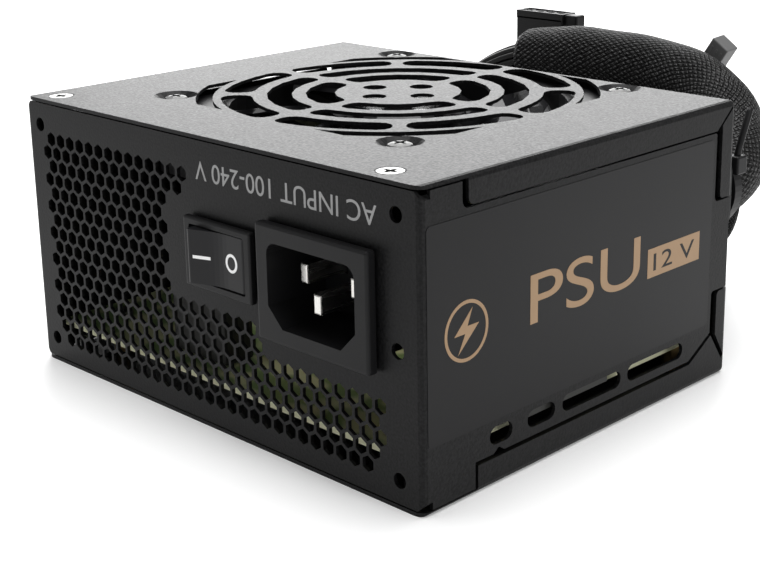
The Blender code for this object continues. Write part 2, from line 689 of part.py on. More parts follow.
def screw(name, profile, reach, place, top, upside_down=False):
    """A cross-head screw. Its profile is (radius, depth under the top of its head)."""
    body = turned(name, [(r, -depth) for r, depth in profile], 12)
    body.modifiers["Turn"].use_smooth_shade = False
    recess = cross_recess(f"{name}_recess", 0.0, reach)
    matrix = Matrix.Translation(Vector((*place, top)) * MM)
    if upside_down:
        matrix = matrix @ Matrix.Rotation(math.pi, 4, "X")
    body.matrix_world = matrix
    recess.matrix_world = matrix @ recess.matrix_world
    return paint(cut(body, recess), BRIGHT_STEEL)


def screws():
    countersunk = [(0, 0), (2.75, 0), (1.6, 0.8), (1.45, 1.0), (1.45, 5.5), (0, 6.2)]
    pan_head = [(0, 0), (1.6, 0.08), (2.5, 0.4), (2.75, 0.9), (1.8, 0.9), (1.8, 9.0), (0, 10.0)]
    small_pan = [(0, 0), (1.6, 0.1), (2.3, 0.5), (2.4, 1.2), (1.2, 1.2), (1.2, 6.5), (0, 7.0)]
    for i, place in enumerate(fan_screw_places(), 1):
        screw(f"fan_screw_{i}", pan_head, 1.5, place, HEIGHT - 0.1)
    for i, place in enumerate(COVER_SCREWS_TOP, 1):
        screw(f"cover_screw_{i}", countersunk, 1.5, place, HEIGHT - 0.02)
    for i, place in enumerate(COVER_SCREWS_BOTTOM, len(COVER_SCREWS_TOP) + 1):
        screw(f"cover_screw_{i}", countersunk, 1.5, place, 0.02, upside_down=True)
    for i, place in enumerate(BOARD_SCREWS, 1):
        screw(f"board_screw_{i}", small_pan, 1.3, place, ON_BOARD + 1.2)


# ---------------------------------------------------------------- board and what stands on it

def main_board():
    outline = rectangle((-58.0, -47.0), (58.0, 46.0))
    holes = [circle(p, 1.6, 10) for p in BOARD_SCREWS]
    return paint(prism("main_board", [outline, *holes], "Z", BOARD_LOW, BOARD_HIGH), GREEN_BOARD)


def standoffs():
    for i, place in enumerate(BOARD_SCREWS, 1):
        ring(f"board_standoff_{i}", place, 1.5, 2.8, SHEET + GAP, BOARD_LOW - GAP, 10, BRASS)


def insulator_sheet():
    """The folded sheet that keeps the board's parts off the wall on the label's side."""
    sheet = block("insulator_sheet", (60.8, -21.0, ON_BOARD), (61.2, 7.0, 42.0))
    return paint(sheet, GREY_SHEET)


def capacitor(name, place, radius, height, finish):
    """A round can with the groove of its crimp near the board."""
    low, top, groove = ON_BOARD, ON_BOARD + height, 0.5
    can = turned(name, [
        (0, top), (radius - 0.5, top), (radius, top - 0.5), (radius, low + 3.2),
        (radius - groove, low + 2.7), (radius, low + 2.2), (radius, low), (0, low),
    ], 18)
    can.location = Vector((*place, 0.0)) * MM
    return paint(can, finish)


def capacitors():
    capacitor("bulk_capacitor", (-38.0, 22.0), 12.5, 31.0, BLACK_SLEEVE)
    for i in range(3):
        capacitor(f"output_capacitor_{i + 1}", (26.0 + 10.5 * i, 38.5), 4.0, 19.0, BROWN_SLEEVE)


def transformer():
    """The ferrite core round its winding: the winding fills the core's two windows."""
    windows = [rectangle((-4.0, 14.0), (4.0, 32.0)), rectangle((12.0, 14.0), (20.0, 32.0))]
    outline = rectangle((-8.0, ON_BOARD), (24.0, 36.0))
    paint(prism("transformer_core", [outline, *windows], "Y", 6.0, 18.0), FERRITE)
    turns = [rectangle((-3.7, -1.0), (19.7, 25.0), 2.5, 3), rectangle((3.7, 5.7), (12.3, 18.3))]
    paint(prism("transformer_winding", turns, "Z", 14.3, 31.7), YELLOW_TAPE)


def heatsink(name, x0, x1, y, fins, fin_length, top):
    """A plate along X with fins that point to -Y."""
    thick, fin_thick = 2.5, 1.4
    fin_end = y - fin_length
    pitch = (x1 - x0 - fin_thick) / (fins - 1)
    outline = [(x1, y + thick), (x0, y + thick)]
    for i in range(fins):
        left, right = x0 + i * pitch, x0 + i * pitch + fin_thick
        outline += [(left, y), (left, fin_end), (right, fin_end), (right, y)]
    # The end fins are flush with the plate's ends, so these two points aren't corners.
    outline = [point for point in outline if point not in ((x0, y), (x1, y))]
    return paint(prism(name, [outline], "Z", ON_BOARD, top), ALUMINIUM)


def toroid(name, middle, ring_r, tube_r, axis, finish):
    bm = bmesh.new()
    around, across = 20, 8
    loops = []
    for i in range(around):
        a = 2 * math.pi * i / around
        centre = Vector((ring_r * math.cos(a), ring_r * math.sin(a), 0))
        out = centre.normalized()
        loops.append([
            bm.verts.new(centre + tube_r * (math.cos(b) * out + Vector((0, 0, math.sin(b)))))
            for b in [2 * math.pi * j / across for j in range(across)]
        ])
    for a, b in zip(loops, loops[1:] + loops[:1]):
        for j in range(across):
            k = (j + 1) % across
            bm.faces.new((a[j], b[j], b[k], a[k]))
    bmesh.ops.transform(bm, matrix=Matrix.Translation(middle) @ axes_of(axis), verts=bm.verts)
    obj = object_from(name, bm)
    obj.data.shade_smooth()
    return paint(obj, finish)


def board_parts():
    capacitors()
    transformer()
    heatsink("primary_heatsink", -54.0, -14.0, 0.0, 8, 5.0, 40.0)
    heatsink("secondary_heatsink", 28.0, 57.0, 16.0, 6, 5.0, 38.0)
    toroid("output_choke", (42.0, 27.0, ON_BOARD + 12.7), 8.6, 3.9, "Y", COPPER)
    toroid("filter_choke", (-2.0, -22.0, ON_BOARD + 11.2), 7.6, 3.5, "X", COPPER)
    paint(block("x_capacitor", (-22.0, -42.0, ON_BOARD), (-4.0, -34.0, 27.0), 0.6, "XYZ", 2), GREY_SHEET)
    standby = block("standby_transformer", (36.0, -20.0, ON_BOARD), (54.0, -5.0, 26.0), 0.8, "Z", 2)
    paint(standby, YELLOW_TAPE)


# ---------------------------------------------------------------- cables

def cable_grommet():
    """The bushing in the end panel. Its lip outside the panel is what the cables come out of."""
    body_outline = rectangle((27.2, 32.3), (60.2, 51.5), 4.7)
    lip_outline = rectangle((25.6, 30.7), (61.2, 53.1), 6.0)
    body = prism("cable_grommet", [body_outline], "Y", END_Y - 1.1, GROMMET_OUTSIDE)
    lip = prism("grommet_lip", [lip_outline], "Y", END_Y + GAP, GROMMET_OUTSIDE - 0.1)
    return paint(join(body, lip), BLACK_PLASTIC)


def main_plug():
    """The wide board plug, which stands on its mating face, with the fan of wires above it."""
    x, y, body_top = -64.0, 92.0, 19.0
    plug = block("main_plug", (x - 5.0, y - 25.8, 0.0), (x + 5.0, y + 25.8, body_top), 0.5, "Z", 1)
    fan = [(y - 24.0, body_top - 1), (y + 24.0, body_top - 1), (y + 6.0, 26.2), (y - 6.0, 26.2)]
    join(plug, prism("plug_wires", [fan], "X", x - 4.0, x + 4.0))
    latch = block("plug_latch", (x + 4.5, y - 3.0, 4.0), (x + 7.5, y + 3.0, 15.0))
    return paint(join(plug, latch), BLACK_PLASTIC)


def drive_plug():
    """The four-way plug that the drive cable passes through, with its mating face up."""
    plug = block("drive_plug", (-48.4, 105.8, HANK_HIGH[2] + GAP), (-30.6, 112.6, 67.2), 0.5, "Z", 1)
    ear = block("plug_ear", (-31.4, 107.2, 61.6), (-26.6, 111.2, 67.0))
    return paint(join(plug, ear), BLACK_PLASTIC)


def small_plug():
    """The little plug at the drive cable's end, in line with the cable."""
    last, before = (Vector(p) for p in (DRIVE_END_ROUTE[-1], DRIVE_END_ROUTE[-2]))
    along = (last - before).normalized()
    plug = block("small_plug", (-2.9, -2.6, 0.0), (2.9, 2.6, 7.4), 0.4, "Z", 1)
    turn = Vector((0, 0, 1)).rotation_difference(along).to_matrix().to_4x4()
    plug.matrix_world = Matrix.Translation((last + along * 0.4) * MM) @ turn
    return paint(plug, GREY_PLASTIC)


def drive_hank():
    """The wound stretch of the drive cable, standing on edge as one solid with round ends."""
    (x0, y0, z0), (x1, y1, z1) = HANK_LOW, HANK_HIGH
    outline = rectangle((x0, z0), (x1, z1), (z1 - z0) / 2 - 0.01, 8)
    return paint(prism("drive_hank", [outline], "Y", y0, y1), BLACK_CABLE)


def hank_strap():
    """A hook-and-loop strap right round the hank."""
    (_, y0, z0), (_, y1, z1) = HANK_LOW, HANK_HIGH
    inner = rectangle((y0 - GAP, z0 - GAP), (y1 + GAP, z1 + GAP), 0.5, 2)
    outer = rectangle((y0 - 1.5, z0 - 1.5), (y1 + 1.5, z1 + 1.5), 1.7, 2)
    return paint(prism("hank_strap", [outer, inner], "X", -18.0, -6.0), BLACK_CABLE)


def bundle_tie():
    """The tie round the main cable near the case."""
    middle = (MAIN_X, EXIT_Z)
    outlines = [circle(middle, MAIN_R + 1.3, 24), circle(middle, MAIN_R + GAP, 24)]
    low = CABLE_START_Y + 1.2
    return paint(prism("bundle_tie", outlines, "Y", low, low + 3.0), BLACK_PLASTIC)


def cables():
    cable_grommet()
    paint(cable("main_cable", MAIN_ROUTE, MAIN_R, 8.0, 3), BLACK_CABLE)
    paint(cable("main_cable_tail", TAIL_ROUTE, TAIL_R, 6.0, 3), BLACK_CABLE)
    main_plug()
    paint(cable("drive_cable", DRIVE_ROUTE, DRIVE_R, 5.0), BLACK_CABLE)
    drive_hank()
    hank_strap()
    paint(cable("drive_cable_loop", DRIVE_LOOP_ROUTE, DRIVE_R, 5.0), BLACK_CABLE)
    paint(cable("drive_cable_end", DRIVE_END_ROUTE, DRIVE_R, 5.0), BLACK_CABLE)
    drive_plug()
    small_plug()
    bundle_tie()


# ---------------------------------------------------------------- build

clear_scene()
PARTS = new_collection("power_supply_unit")
CUTTERS = new_collection("cutters")

BLACK_STEEL = material("black_powder_coat", (0.025, 0.025, 0.027), 0.55)
BLACK_PLASTIC = material("black_plastic", (0.018, 0.018, 0.019), 0.45)
GLOSS_PLASTIC = material("glossy_black_plastic", (0.02, 0.02, 0.022), 0.2)
GREY_PLASTIC = material("grey_plastic", (0.3, 0.3, 0.3), 0.45)
LABEL = material("label_film", (0.03, 0.03, 0.032), 0.4)
PLATED_BRASS = material("plated_brass", (0.75, 0.74, 0.7), 0.25, 1.0)
BRIGHT_STEEL = material("bright_steel", (0.72, 0.72, 0.7), 0.25, 1.0)
BRASS = material("brass", (0.7, 0.52, 0.25), 0.35, 1.0)
COPPER = material("copper_wire", (0.62, 0.3, 0.16), 0.4, 1.0)
ALUMINIUM = material("aluminium", (0.65, 0.66, 0.67), 0.4, 1.0)
GREEN_BOARD = material("green_board", (0.28, 0.38, 0.2), 0.5)
GREY_SHEET = material("grey_insulation", (0.42, 0.42, 0.4), 0.6)
YELLOW_TAPE = material("yellow_tape", (0.75, 0.55, 0.1), 0.5)
FERRITE = material("ferrite", (0.06, 0.06, 0.065), 0.6)
BLACK_SLEEVE = material("capacitor_sleeve", (0.02, 0.02, 0.03), 0.35)
BROWN_SLEEVE = material("brown_sleeve", (0.1, 0.05, 0.03), 0.35)
BLACK_CABLE = material("black_cable", (0.012, 0.012, 0.012), 0.7)

chassis()
cover()
side_label()
inlet_housing()
inlet_pins()
switch_housing()
switch_rocker()
switch_terminals()
fan_frame()
fan_rotor()
fan_shaft()
fan_motor()
screws()
main_board()
standoffs()
insulator_sheet()
board_parts()
cables()
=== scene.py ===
"""How the power supply looks: its finishes, markings, cables, camera and light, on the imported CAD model.

Lengths are in millimetres. They become metres where a mesh, a lamp or the camera is made.
"""

import math
import random

import bmesh
import bpy
from mathutils import Matrix, Vector


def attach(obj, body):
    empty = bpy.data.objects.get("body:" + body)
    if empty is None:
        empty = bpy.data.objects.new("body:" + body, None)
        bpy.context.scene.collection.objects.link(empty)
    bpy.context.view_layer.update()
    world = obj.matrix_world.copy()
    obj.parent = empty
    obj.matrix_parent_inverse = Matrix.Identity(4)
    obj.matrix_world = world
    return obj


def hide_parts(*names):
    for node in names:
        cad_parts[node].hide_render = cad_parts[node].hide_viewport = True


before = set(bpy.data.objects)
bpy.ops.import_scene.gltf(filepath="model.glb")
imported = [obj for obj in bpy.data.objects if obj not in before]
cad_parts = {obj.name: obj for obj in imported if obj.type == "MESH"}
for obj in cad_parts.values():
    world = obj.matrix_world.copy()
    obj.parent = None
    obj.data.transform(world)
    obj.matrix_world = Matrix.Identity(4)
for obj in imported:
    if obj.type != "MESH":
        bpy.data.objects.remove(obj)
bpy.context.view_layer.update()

MM = 0.001

CAMERA_PLACE = (237.3, -231.2, 129.8)
CAMERA_TURN = (74.19, 0.74, 44.17)  # degrees
LENS = 71.3
CAMERA_SHIFT = (-0.0395, -0.0921)

# Cables: the routes of the CAD model
MAIN_R = 9.0
CORE_R = 4.0
MAIN_ROUTE = (
    (51.0, 52.1, 41.5), (51.0, 57.0, 41.5), (51.0, 62.0, 41.7), (48.8, 71.6, 43.2), (42.1, 82.4, 47.3),
    (32.0, 90.9, 52.0), (19.6, 95.4, 55.8), (8.0, 96.2, 57.6), (-6.0, 96.2, 58.0), (-18.0, 96.2, 57.5),
    (-27.0, 96.0, 56.6), (-34.0, 95.6, 55.4), (-40.0, 95.3, 53.6), (-47.5, 94.8, 50.0),
    (-54.6, 93.9, 44.4), (-60.0, 92.8, 38.0), (-63.2, 92.2, 32.6), (-64.2, 92.0, 27.9),
)
MAIN_STEP = 1.5  # between the points of the cable's line
SLEEVE_END = 115.0  # along the route
SLEEVE_SHOULDER = 3.0  # the length of its rounded end
WIRE_R = 0.95
WIRE_RINGS = ((2, 0.95), (8, 2.7), (14, 4.5))  # wires in each ring of the bundle, and its radius
PLUG_X, PLUG_Y, PLUG_TOP = -64.0, 92.0, 18.4
PLUG_COLUMNS, PLUG_PITCH = 12, 4.2
TIE_START, TIE_END = 53.4, 56.2  # along y
TIE_INSIDE, TIE_OUTSIDE = 9.3, 10.2
DRIVE_R = 2.75
DRIVE_LEAD = (
    (31.0, 52.1, 43.0), (31.0, 55.6, 43.0), (31.0, 60.6, 42.2), (30.4, 67.0, 38.6), (29.0, 74.0, 31.8),
    (26.8, 79.6, 24.4), (24.2, 84.2, 17.4), (20.8, 88.4, 11.0), (16.0, 91.8, 6.8),
)
DRIVE_LAST_LOOP = (
    (-36.0, 110.0, 4.4), (-43.5, 110.0, 7.6), (-49.5, 110.0, 13.6), (-52.8, 110.0, 20.6),
    (-55.4, 110.0, 27.0), (-58.6, 109.9, 31.6), (-60.8, 109.6, 37.2), (-60.8, 109.3, 43.2),
    (-58.2, 109.2, 48.0), (-54.0, 109.2, 50.0),
)
DRIVE_END = (
    (-45.0, 109.2, 50.1), (-37.0, 109.2, 50.1), (-29.3, 109.2, 50.1), (-21.0, 109.2, 51.2),
    (-12.0, 109.2, 51.6), (-3.0, 109.1, 51.2), (6.0, 108.8, 51.0), (11.8, 108.2, 52.2),
    (16.2, 107.7, 55.0), (18.6, 107.4, 58.4),
)
DRIVE_STEP = 2.2  # between the points of the cable's line
DRIVE_PLUG_LOW, DRIVE_PLUG_HIGH = (-48.4, 105.8, 46.1), (-30.6, 112.6, 67.2)
DRIVE_PLUG_PITCH = 3.9
HANK_LEFT, HANK_RIGHT, HANK_MIDDLE_Z, HANK_R = -30.85, 7.35, 23.65, 19.3
HANK_FIRST_Y, HANK_PITCH = 93.8, 5.45
HANK_TURNS = 3
HANK_LEFT_BEND, HANK_RIGHT_BEND = range(255, 105, -15), range(75, -90, -15)  # degrees, clockwise

FIBRES = 4  # fibres in each thread of a braid
FIBRE_DEPTH = 0.3  # how far the gaps between fibres go into a thread, where 1 is all the way
BRAID_WOBBLE = 1.6  # how far the threads stray, in radians of the pattern

# Markings: the side's are (along y, up), the rocker's are (x, y, z)
FILM_LOW, FILM_HIGH, FILM_CORNER, FILM_THICKNESS = (-48.7, 13.6), (41.9, 55.9), 1.0, 0.095
EMBLEM_MIDDLE, EMBLEM_R, EMBLEM_LINE = (-38.2, 33.9), 6.0, 0.7
BOLT = ((1.6, 4.3), (-3.4, -0.5), (-0.4, -0.5), (-2.4, -4.3), (3.4, 0.9), (0.2, 0.9))
INK = 0.04  # the thickness of a printed mark
ROCKER_TILT = 20  # degrees between the rocker's wings
OFF_MARK, ON_MARK = (11.7, -51.7, 39.2), (4.0, -53.14, 39.2)

SPLINE_POINTS = 24  # in each stretch of a route


# ---------------------------------------------------------------- meshes

def add(name, mesh, finish, body="case"):
    """A piece of the visual model that moves with a body of the CAD."""
    obj = bpy.data.objects.new(name, mesh)
    bpy.context.scene.collection.objects.link(obj)
    mesh.materials.append(finish)
    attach(obj, body)
    return obj


def mesh_from(name, bm):
    """A mesh from a bmesh in millimetres."""
    bmesh.ops.scale(bm, vec=(MM, MM, MM), verts=bm.verts)
    bmesh.ops.recalc_face_normals(bm, faces=bm.faces)
    mesh = bpy.data.meshes.new(name)
    bm.to_mesh(mesh)
    bm.free()
    return mesh


def add_box(bm, low, high, bevel=0.0, segments=2):
    """Adds a box between two corners to a bmesh, with its edges rounded."""
    low, high = Vector(low), Vector(high)
    verts = bmesh.ops.create_cube(bm, size=1.0)["verts"]
    bmesh.ops.scale(bm, vec=high - low, verts=verts)
    bmesh.ops.translate(bm, vec=(low + high) / 2, verts=verts)
    if bevel:
        edges = list({e for v in verts for e in v.link_edges})
        bmesh.ops.bevel(bm, geom=edges, offset=bevel, segments=segments, profile=0.5, affect="EDGES")


def add_plate(bm, outline, low, high):
    """Adds a plate to a bmesh: an outline of (x, y) between two heights."""
    face = bm.faces.new([bm.verts.new((u, v, low)) for u, v in outline])
    raised = bmesh.ops.extrude_face_region(bm, geom=[face])["geom"]
    verts = [item for item in raised if isinstance(item, bmesh.types.BMVert)]
    bmesh.ops.translate(bm, vec=(0, 0, high - low), verts=verts)


def add_ring(bm, outer, inner, low, high):
    """Adds a short pipe on end to a bmesh, from two outlines with the same number of points."""
    heights = ((outer, low), (outer, high), (inner, high), (inner, low))
    loops = [[bm.verts.new((u, v, z)) for u, v in outline] for outline, z in heights]
    for one, other in zip(loops, loops[1:] + loops[:1]):
        for i in range(len(one)):
            j = (i + 1) % len(one)
            bm.faces.new((one[i], one[j], other[j], other[i]))
    return [vert for loop in loops for vert in loop]


def circle(u, v, radius, sides=32, squeeze=1.0):
    """The outline of a circle, or of an oval when it's squeezed along u."""
    angles = [2 * math.pi * i / sides for i in range(sides)]
    return [(u + squeeze * radius * math.cos(a), v + radius * math.sin(a)) for a in angles]


def rectangle(u0, v0, u1, v1):
    """The outline of a rectangle between two corners."""
    return [(u0, v0), (u1, v0), (u1, v1), (u0, v1)]


def smooth_line(route, spacing):
    """Evenly spaced points on a cubic B-spline along a route, from its first point to its last."""
    points = [Vector(p) for p in route]
    points = [2 * points[0] - points[1], *points, 2 * points[-1] - points[-2]]
    fine = []
    for a, b, c, d in zip(points, points[1:], points[2:], points[3:]):
        for i in range(SPLINE_POINTS):
            t = i / SPLINE_POINTS
            inner = (3 * t**3 - 6 * t**2 + 4) * b + (3 * t**2 - 3 * t**3 + 3 * t + 1) * c
            fine.append(((1 - t) ** 3 * a + inner + t**3 * d) / 6)
    fine.append(points[-2])
    lengths = [(q - p).length for p, q in zip(fine, fine[1:])]
    count = max(2, round(sum(lengths) / spacing))
    step = sum(lengths) / count
    line, travelled, wanted = [fine[0]], 0.0, 1
    for p, q, length in zip(fine, fine[1:], lengths):
        while wanted < count and travelled + length >= wanted * step:
            line.append(p.lerp(q, (wanted * step - travelled) / length))
            wanted += 1
        travelled += length
    return line + [fine[-1]]


def frames_along(line):
    """Each point of a line, with two directions across the line that don't twist from point to point."""
    side = (line[1] - line[0]).orthogonal().normalized()
    frames = []
    for i, point in enumerate(line):
        ahead = (line[min(i + 1, len(line) - 1)] - line[max(i - 1, 0)]).normalized()
        side = (side - side.dot(ahead) * ahead).normalized()
        frames.append((point, side, ahead.cross(side)))
    return frames


def add_tube(bm, line, radius_at, sides):
    """Adds a closed tube along a line to a bmesh. Its UV is the turn round it and the metres along it."""
    uv = bm.loops.layers.uv.verify()
    turns = [2 * math.pi * j / sides for j in range(sides)]
    rings, travelled, last = [], 0.0, line[0]
    for point, side, up in frames_along(line):
        travelled += (point - last).length
        last = point
        radius = radius_at(travelled)
        ring = [bm.verts.new(point + radius * (math.cos(a) * side + math.sin(a) * up)) for a in turns]
        rings.append((ring, travelled))
    for (ring, v0), (later, v1) in zip(rings, rings[1:]):
        for j in range(sides):
            k = (j + 1) % sides
            face = bm.faces.new((ring[j], ring[k], later[k], later[j]))
            face.smooth = True
            for loop, (u, v) in zip(face.loops, ((j, v0), (j + 1, v0), (j + 1, v1), (j, v1))):
                loop[uv].uv = (u / sides, v * MM)
    bm.faces.new(rings[0][0][::-1])
    bm.faces.new(rings[-1][0])


# ---------------------------------------------------------------- finishes

class Finish:
    """A material's nodes, with short ways to add the usual ones."""

    def __init__(self, name, colour, roughness, metallic=0.0, coat=0.0, specular=0.5):
        self.material = bpy.data.materials.new(name)
        self.material.use_nodes = True
        self.tree = self.material.node_tree
        self.shader = self.tree.nodes["Principled BSDF"]
        self.shader.inputs["Base Color"].default_value = (*colour, 1.0)
        self.shader.inputs["Roughness"].default_value = roughness
        self.shader.inputs["Metallic"].default_value = metallic
        self.shader.inputs["Coat Weight"].default_value = coat
        self.shader.inputs["Specular IOR Level"].default_value = specular

    def node(self, kind, **inputs):
        """A node with values for its sockets, which are named as in Blender with _ for a space."""
        node = self.tree.nodes.new(kind)
        for name, value in inputs.items():
            node.inputs[name.replace("_", " ")].default_value = value
        return node

    def link(self, output, socket):
        """Joins one node's output to another's socket."""
        self.tree.links.new(output, socket)

    def noise(self, scale, detail=3.0, stretch=(1, 1, 1)):
        """A noise from 0 to 1 that is fixed to the piece."""
        where = self.node("ShaderNodeTexCoord")
        mapping = self.node("ShaderNodeMapping", Scale=stretch)
        noise = self.node("ShaderNodeTexNoise", Scale=scale, Detail=detail)
        self.link(where.outputs["Object"], mapping.inputs["Vector"])
        self.link(mapping.outputs["Vector"], noise.inputs["Vector"])
        return noise.outputs["Fac"]

    def ramp(self, value, stops):
        """A colour that goes from one stop's to the other's as a value rises between their places."""
        ramp = self.node("ShaderNodeValToRGB")
        for element, (place, colour) in zip(ramp.color_ramp.elements, stops):
            element.position = place
            element.color = (*colour, 1.0)
        self.link(value, ramp.inputs["Fac"])
        return ramp.outputs["Color"]

    def spread(self, value, low, high):
        """A value from 0 to 1 stretched to go from low to high."""
        spread = self.node("ShaderNodeMapRange", To_Min=low, To_Max=high)
        self.link(value, spread.inputs["Value"])
        return spread.outputs["Result"]

    def bump(self, value, strength, height):
        """Relief on the surface, in millimetres."""
        bump = self.node("ShaderNodeBump", Strength=strength, Distance=height * MM)
        self.link(value, bump.inputs["Height"])
        self.link(bump.outputs["Normal"], self.shader.inputs["Normal"])

    def maths(self, operation, first, second=None):
        """The result of a sum on numbers or on other nodes' outputs."""
        node = self.node("ShaderNodeMath")
        node.operation = operation
        for socket, value in zip(node.inputs, (first, second)):
            if isinstance(value, (int, float)):
                socket.default_value = value
            elif value is not None:
                self.link(value, socket)
        return node.outputs["Value"]


def powder_coat():
    """Black paint with a fine sandy grain, which shows in its colour, gloss and relief."""
    finish = Finish("powder_coat", (0.008, 0.008, 0.009), 0.42, specular=0.13)
    grain = finish.noise(1800.0, 2.0)
    finish.link(finish.ramp(grain, ((0.35, (0.002, 0.002, 0.0022)), (0.7, (0.011, 0.011, 0.0115)))),
                finish.shader.inputs["Base Color"])
    finish.link(finish.spread(grain, 0.28, 0.58), finish.shader.inputs["Roughness"])
    finish.bump(grain, 0.5, 0.1)
    return finish.material


def moulded(name, colour, roughness, grain_height=0.03, coat=0.0):
    """Plastic, ink or tape: uneven gloss and a fine grain."""
    finish = Finish(name, colour, roughness, coat=coat, specular=0.16)
    finish.link(finish.spread(finish.noise(90.0), roughness - 0.05, roughness + 0.07),
                finish.shader.inputs["Roughness"])
    finish.bump(finish.noise(2200.0), 0.3, grain_height)
    return finish.material


def metal(name, colour, roughness, stretch=(1, 1, 1)):
    """Bare metal with a brushed gloss, drawn out along the axes where the stretch is small."""
    finish = Finish(name, colour, roughness, metallic=1.0)
    brushed = finish.noise(500.0, 4.0, stretch)
    rough = finish.spread(brushed, roughness - 0.08, roughness + 0.1)
    finish.link(rough, finish.shader.inputs["Roughness"])
    finish.bump(brushed, 0.15, 0.02)
    return finish.material


def label_film():
    """Smooth dark film with a slightly uneven gloss."""
    finish = Finish("label_film", (0.0085, 0.0085, 0.009), 0.4, specular=0.14)
    finish.link(finish.spread(finish.noise(25.0), 0.33, 0.44), finish.shader.inputs["Roughness"])
    finish.bump(finish.noise(900.0), 0.12, 0.02)
    return finish.material


def circuit_board():
    """Green lacquer with paler copper areas on the faces, and bare fibre at the edges, its pale colour
    brightened into a painted highlight.
    """
    finish = Finish("circuit_board", (0.1, 0.2, 0.08), 0.4)
    areas = finish.noise(110.0, 1.0)
    lacquer = finish.ramp(areas, ((0.45, (0.2, 0.3, 0.11)), (0.56, (0.62, 0.64, 0.36))))
    geometry = finish.node("ShaderNodeNewGeometry")
    parts = finish.node("ShaderNodeSeparateXYZ")
    finish.link(geometry.outputs["Normal"], parts.inputs["Vector"])
    flat = finish.maths("GREATER_THAN", finish.maths("ABSOLUTE", parts.outputs["Z"]), 0.5)
    # The edges' pale colour is brighter than bare fibre: a painted highlight where light would reflect.
    colour = finish.node("ShaderNodeMixRGB", Color1=(0.9, 0.9, 0.62, 1.0))
    finish.link(flat, colour.inputs["Fac"])
    finish.link(lacquer, colour.inputs["Color2"])
    finish.link(colour.outputs["Color"], finish.shader.inputs["Base Color"])
    finish.bump(areas, 0.5, 0.05)
    return finish.material


def copper_turns():
    """Wound copper wire, as ridges."""
    finish = Finish("copper_turns", (0.55, 0.22, 0.1), 0.3, metallic=1.0)
    wave = finish.node("ShaderNodeTexWave", Scale=180.0, Distortion=1.5)
    where = finish.node("ShaderNodeTexCoord")
    finish.link(where.outputs["Object"], wave.inputs["Vector"])
    finish.bump(wave.outputs["Fac"], 0.8, 0.3)
    return finish.material


def braid(name, strands, pitch, dark, light):
    """A braided sleeve: two sets of threads that go over and under each other, each of several fibres."""
    finish = Finish(name, dark, 0.5, specular=0.06)
    uv = finish.node("ShaderNodeUVMap")
    parts = finish.node("ShaderNodeSeparateXYZ")
    finish.link(uv.outputs["UV"], parts.inputs["Vector"])
    wobble = finish.spread(finish.noise(220.0, 2.0), -BRAID_WOBBLE, BRAID_WOBBLE)
    around = finish.maths("MULTIPLY", parts.outputs["X"], 2 * math.pi * strands)
    along = finish.maths("MULTIPLY", parts.outputs["Y"], 2 * math.pi / (pitch * MM))
    along = finish.maths("ADD", along, wobble)
    one = finish.maths("ADD", around, along)
    other = finish.maths("SUBTRACT", around, along)
    weave = finish.maths("MULTIPLY", finish.maths("SINE", one), finish.maths("SINE", other))
    one_fibres = finish.maths("SINE", finish.maths("MULTIPLY", one, FIBRES))
    other_fibres = finish.maths("SINE", finish.maths("MULTIPLY", other, FIBRES))
    on_top = finish.maths("GREATER_THAN", weave, 0.0)
    difference = finish.maths("SUBTRACT", one_fibres, other_fibres)
    fibres = finish.maths("ADD", other_fibres, finish.maths("MULTIPLY", on_top, difference))
    fibres = finish.maths("ADD", finish.maths("MULTIPLY", fibres, FIBRE_DEPTH), 1 - FIBRE_DEPTH)
    height = finish.maths("MULTIPLY", finish.maths("ABSOLUTE", weave), fibres)
    # The colour follows the weave's height: painted shade in the gaps between threads and a painted
    # highlight on their crowns, varied by random flecks.
    relief_shade_and_fleck = finish.maths("MULTIPLY", height, finish.spread(finish.noise(900.0, 2.0), 0.1, 1.7))
    finish.link(finish.ramp(relief_shade_and_fleck, ((0.3, dark), (0.9, light))), finish.shader.inputs["Base Color"])
    finish.bump(height, 1.0, 0.8)
    return finish.material


def fabric_strap():
    """Woven hook-and-loop fabric, with no shine."""
    finish = Finish("fabric_strap", (0.012, 0.012, 0.013), 0.85)
    loops = finish.noise(1800.0, 2.0)
    finish.link(finish.ramp(loops, ((0.4, (0.006, 0.006, 0.006)), (0.7, (0.03, 0.03, 0.03)))),
                finish.shader.inputs["Base Color"])
    finish.bump(loops, 1.0, 0.3)
    return finish.material


# ---------------------------------------------------------------- camera, light and floor

def camera():
    """The camera at the photo's viewing angle."""
    data = bpy.data.cameras.new("camera")
    data.lens = LENS
    data.sensor_width = 36.0
    data.shift_x, data.shift_y = CAMERA_SHIFT
    data.clip_start = 0.01
    obj = bpy.data.objects.new("camera", data)
    obj.location = Vector(CAMERA_PLACE) * MM
    obj.rotation_euler = [math.radians(a) for a in CAMERA_TURN]
    bpy.context.scene.collection.objects.link(obj)
    bpy.context.scene.camera = obj


def softbox(name, place, aim, size, watts):
    """A square area lamp at a place, turned to a point."""
    data = bpy.data.lights.new(name, "AREA")
    data.shape = "SQUARE"
    data.size = size * MM
    data.energy = watts
    obj = bpy.data.objects.new(name, data)
    obj.location = Vector(place) * MM
    obj.rotation_euler = (Vector(aim) - Vector(place)).to_track_quat("-Z", "Y").to_euler()
    bpy.context.scene.collection.objects.link(obj)


